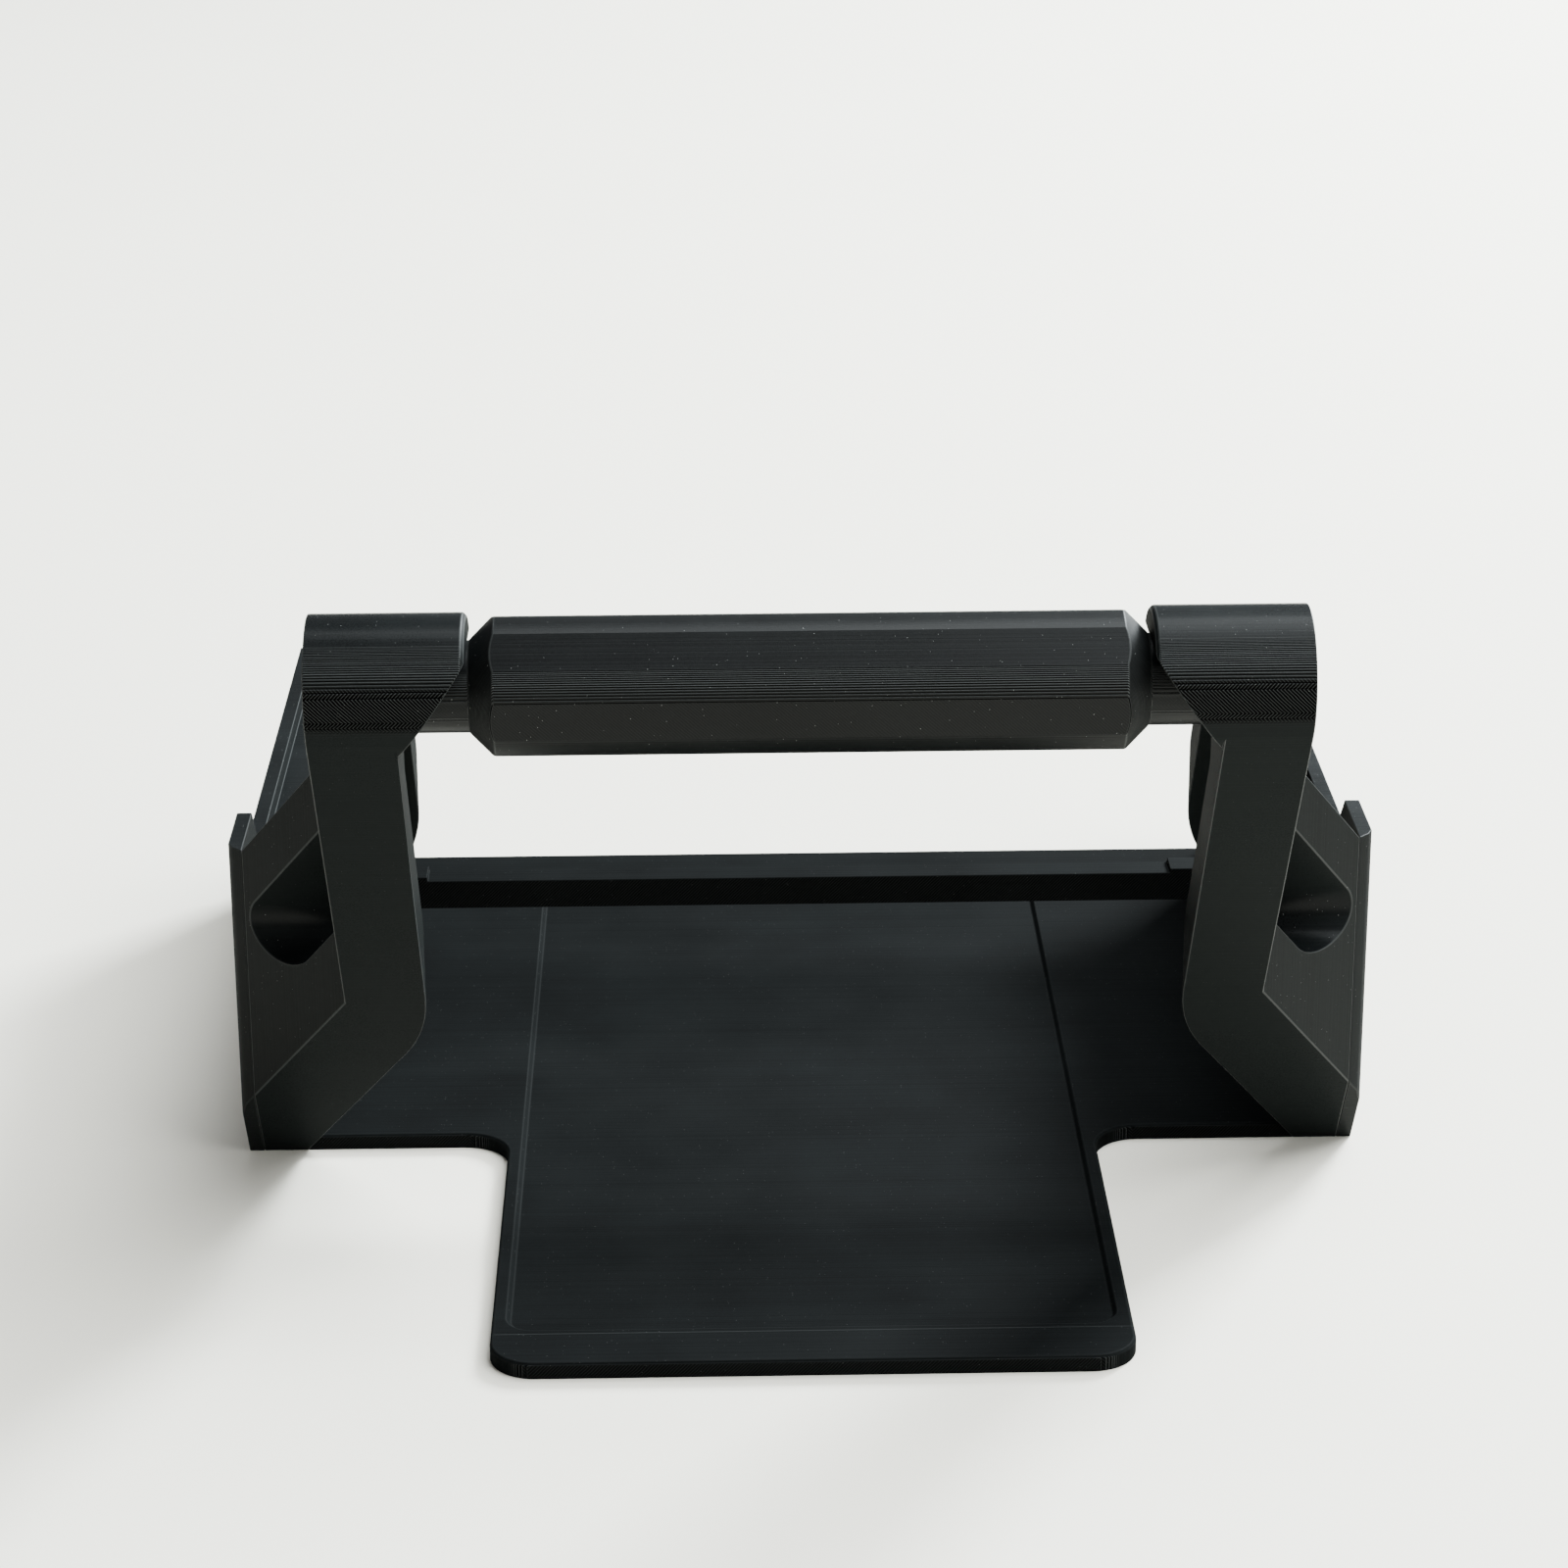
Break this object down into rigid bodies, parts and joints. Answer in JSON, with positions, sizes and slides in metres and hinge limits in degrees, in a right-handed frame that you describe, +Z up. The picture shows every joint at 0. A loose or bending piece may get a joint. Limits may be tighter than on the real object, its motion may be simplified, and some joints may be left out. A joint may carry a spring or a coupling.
{
  "type": "desktop machine stand with guide roller",
  "caption": "Open stand with a sheet tray and tongue below, seat ledges between side walls, and leaning slotted arms that carry a free-rolling guide roller with six flats.",
  "frame": {"origin": "On the table, at the middle of the base tray's front edge, where the tongue starts. Z is 0 at the underside of the tray.", "axes": "+Z up. +X to the right as seen from the tongue's side, along the guide roller. -Y along the tongue, away from the tray."},
  "size_m": [0.208, 0.237, 0.1277],
  "materials": {
    "black_print": "matte near-black printed plastic with fine layer lines",
    "roller_print": "matte near-black printed plastic with coarse layer lines",
    "dark_steel": "dark oxidised steel"
  },
  "bodies": {
    "stand": {"base_tray": "black_print", "left_side_wall": "black_print", "right_side_wall": "black_print", "left_arm": "black_print", "right_arm": "black_print", "near_crossbar": "black_print", "far_crossbar": "black_print", "left_arm_screws": "dark_steel", "right_arm_screws": "dark_steel", "tray_screws": "dark_steel", "crossbar_screws": "dark_steel"},
    "roller": {"guide_roller": "roller_print"}
  },
  "joints": [
    {"name": "roller_spin", "type": "hinge", "parent": "stand", "child": "roller", "pos_m": [0, -0.06884, 0.1155], "axis": [1, 0, 0], "continuous": true}
  ]
}
